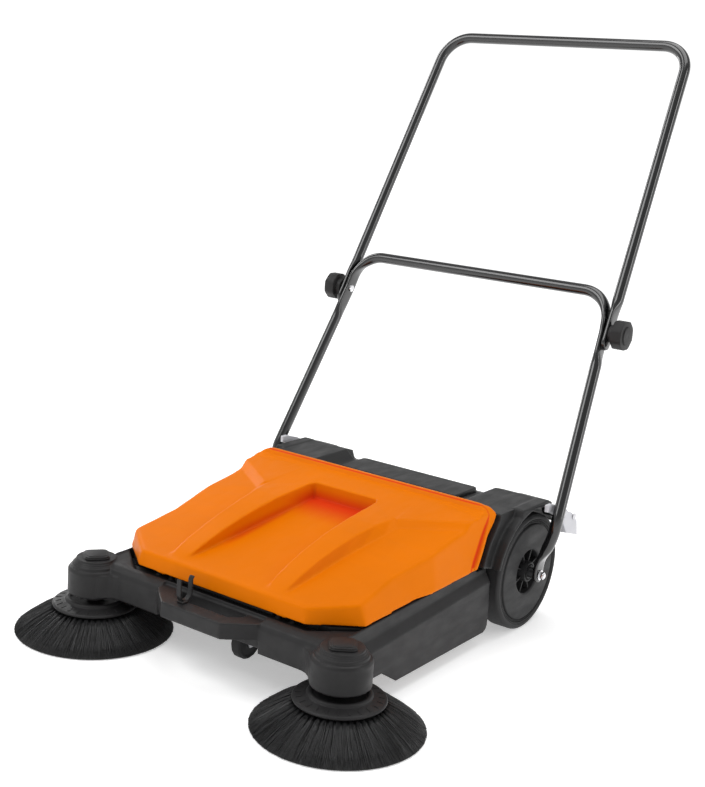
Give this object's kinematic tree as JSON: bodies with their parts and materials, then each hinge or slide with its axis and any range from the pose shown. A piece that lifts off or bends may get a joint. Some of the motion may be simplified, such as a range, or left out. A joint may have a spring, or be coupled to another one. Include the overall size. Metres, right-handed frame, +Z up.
{
  "type": "walk-behind sweeper",
  "caption": "Push sweeper with two wheels, a hinged orange hood over a dirt hopper, a gear-driven roller brush, belt-driven side brushes and a folding tube handle.",
  "frame": {"origin": "on the floor, at the middle of the overall size in X and Y", "axes": "+X towards the side of the driving wheel, +Y from the side brushes back to the operator, +Z up"},
  "size_m": [0.68, 0.985, 0.9129],
  "materials": {
    "orange_plastic": "satin moulded",
    "black_plastic": "satin moulded",
    "housing_plastic": "satin moulded",
    "rubber": "matte",
    "tyre_rubber": "matte",
    "bristle": "matte filaments",
    "gear_plastic": "moulded",
    "steel": "zinc plated",
    "chrome_bolt": "bright plated",
    "tube_paint": "gloss powder coat",
    "grey_plastic": "satin moulded",
    "belt_rubber": "matte"
  },
  "bodies": {
    "chassis_body": {"chassis": "black_plastic", "handle_clip": "black_plastic", "rear_housing": "housing_plastic", "roller_cover": "housing_plastic", "sealing_lip": "rubber", "hopper": "housing_plastic", "corner_cap_right": "black_plastic", "corner_cap_left": "black_plastic", "hood_hinge_pin_right": "steel", "hood_hinge_pin_left": "steel", "stub_axle_right": "steel", "stub_axle_left": "steel", "roller_bearing_right": "gear_plastic", "roller_bearing_left": "gear_plastic", "brush_bearing_right": "gear_plastic", "brush_bearing_left": "gear_plastic", "drive_belt_right": "belt_rubber", "drive_belt_left": "belt_rubber", "catch_pin_right": "steel", "catch_pin_left": "steel", "axle_bolt_right": "chrome_bolt", "axle_bolt_left": "chrome_bolt"},
    "hood": {"hood": "orange_plastic"},
    "wheel_right": {"wheel_disc_right": "black_plastic", "tyre_right": "tyre_rubber", "wheel_bush_right": "black_plastic", "drive_gear_right": "gear_plastic"},
    "wheel_left": {"wheel_disc_left": "black_plastic", "tyre_left": "tyre_rubber", "wheel_bush_left": "black_plastic", "drive_pulley_left": "gear_plastic"},
    "roller": {"roller_core": "steel", "roller_bristles": "bristle", "roller_pinion": "gear_plastic"},
    "lower_frame": {"lower_frame": "tube_paint", "knob_bolt_right": "chrome_bolt", "knob_bolt_left": "chrome_bolt"},
    "upper_handle": {"upper_handle": "tube_paint"},
    "caster_fork": {"caster_fork": "steel", "caster_nut": "steel", "caster_axle": "steel"},
    "caster_wheel": {"caster_wheel": "rubber"},
    "brush_right": {"brush_plate_right": "black_plastic", "brush_bristles_right": "bristle", "brush_shaft_right": "steel", "brush_pulley_right": "gear_plastic"},
    "knob_right": {"clamp_knob_right": "black_plastic"},
    "catch_right": {"handle_catch_right": "grey_plastic"},
    "brush_left": {"brush_plate_left": "black_plastic", "brush_bristles_left": "bristle", "brush_shaft_left": "steel", "brush_pulley_left": "gear_plastic"},
    "knob_left": {"clamp_knob_left": "black_plastic"},
    "catch_left": {"handle_catch_left": "grey_plastic"}
  },
  "joints": [
    {"name": "wheel_right_spin", "type": "hinge", "parent": "chassis_body", "child": "wheel_right", "pos_m": [0.2165, 0.09205, 0.092], "axis": [1, 0, 0], "continuous": true},
    {"name": "wheel_left_spin", "type": "hinge", "parent": "chassis_body", "child": "wheel_left", "pos_m": [-0.2165, 0.09205, 0.092], "axis": [1, 0, 0], "continuous": true},
    {"name": "roller_spin", "type": "hinge", "parent": "chassis_body", "child": "roller", "pos_m": [0, 0.05389, 0.08], "axis": [1, 0, 0], "continuous": true},
    {"name": "brush_right_spin", "type": "hinge", "parent": "chassis_body", "child": "brush_right", "pos_m": [0.2244, -0.37695, 0.06], "axis": [0, 0, 1], "continuous": true},
    {"name": "brush_left_spin", "type": "hinge", "parent": "chassis_body", "child": "brush_left", "pos_m": [-0.2244, -0.37695, 0.06], "axis": [0, 0, 1], "continuous": true},
    {"name": "caster_swivel", "type": "hinge", "parent": "chassis_body", "child": "caster_fork", "pos_m": [0, -0.31595, 0.058], "axis": [0, 0, 1], "continuous": true},
    {"name": "caster_wheel_spin", "type": "hinge", "parent": "caster_fork", "child": "caster_wheel", "pos_m": [0, -0.29795, 0.025], "axis": [1, 0, 0], "continuous": true},
    {"name": "hood_open", "type": "hinge", "parent": "chassis_body", "child": "hood", "pos_m": [0, -0.35595, 0.1165], "axis": [-1, 0, 0], "range_deg": [-70, 0]},
    {"name": "lower_frame_fold", "type": "hinge", "parent": "chassis_body", "child": "lower_frame", "pos_m": [0, 0.09205, 0.092], "axis": [1, 0, 0], "range_deg": [0, 104]},
    {"name": "upper_handle_fold", "type": "hinge", "parent": "lower_frame", "child": "upper_handle", "pos_m": [0, 0.23965, 0.455], "axis": [1, 0, 0], "range_deg": [-120, 0]},
    {"name": "knob_right_turn", "type": "hinge", "parent": "lower_frame", "child": "knob_right", "pos_m": [0.275, 0.23965, 0.455], "axis": [1, 0, 0], "range_deg": [0, 360]},
    {"name": "knob_left_turn", "type": "hinge", "parent": "lower_frame", "child": "knob_left", "pos_m": [-0.275, 0.23965, 0.455], "axis": [1, 0, 0], "range_deg": [0, 360]},
    {"name": "catch_right_release", "type": "hinge", "parent": "chassis_body", "child": "catch_right", "pos_m": [0.263, 0.15405, 0.177], "axis": [1, 0, 0], "range_deg": [-15, 0], "stiffness_Nm_per_rad": 0.3},
    {"name": "catch_left_release", "type": "hinge", "parent": "chassis_body", "child": "catch_left", "pos_m": [-0.263, 0.15405, 0.177], "axis": [1, 0, 0], "range_deg": [-15, 0], "stiffness_Nm_per_rad": 0.3}
  ],
  "couplings": [
    {"joint": "roller_spin", "follows": "wheel_right_spin", "ratio": 3},
    {"joint": "brush_right_spin", "follows": "wheel_right_spin", "ratio": -2.0857},
    {"joint": "brush_left_spin", "follows": "wheel_left_spin", "ratio": 2.0857}
  ]
}
